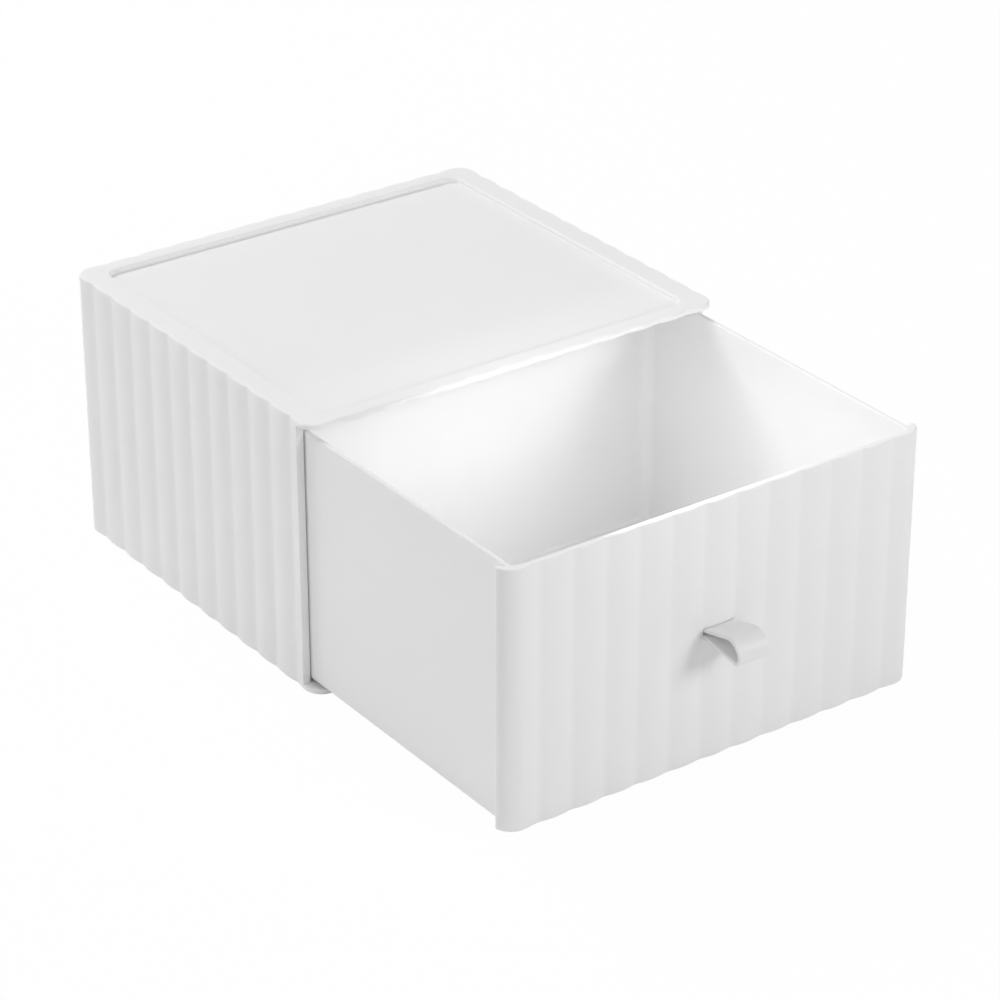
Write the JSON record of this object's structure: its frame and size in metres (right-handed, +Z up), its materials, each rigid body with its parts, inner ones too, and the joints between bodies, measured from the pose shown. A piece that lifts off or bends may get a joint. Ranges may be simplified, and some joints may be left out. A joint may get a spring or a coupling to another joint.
{
  "type": "stackable drawer box",
  "caption": "Fluted stackable box with an open front, a sliding drawer with a fluted front panel, and a looped pull tab.",
  "frame": {"origin": "middle of the underside of the casing's foot, which the box rests on", "axes": "+Z up, -Y out of the open front, along the drawer's travel, +X to the right for someone facing the back from the front"},
  "size_m": [0.1708, 0.283, 0.1041],
  "materials": {
    "casing_plastic": "white satin moulded plastic",
    "drawer_plastic": "white satin moulded plastic",
    "tab_plastic": "soft white satin plastic"
  },
  "bodies": {
    "casing": {"casing": "casing_plastic"},
    "drawer": {"drawer": "drawer_plastic", "pull_tab": "tab_plastic"}
  },
  "joints": [
    {"name": "drawer_slide", "type": "slide", "parent": "casing", "child": "drawer", "axis": [0, -1, 0], "range_m": [-0.11, 0.01]}
  ]
}
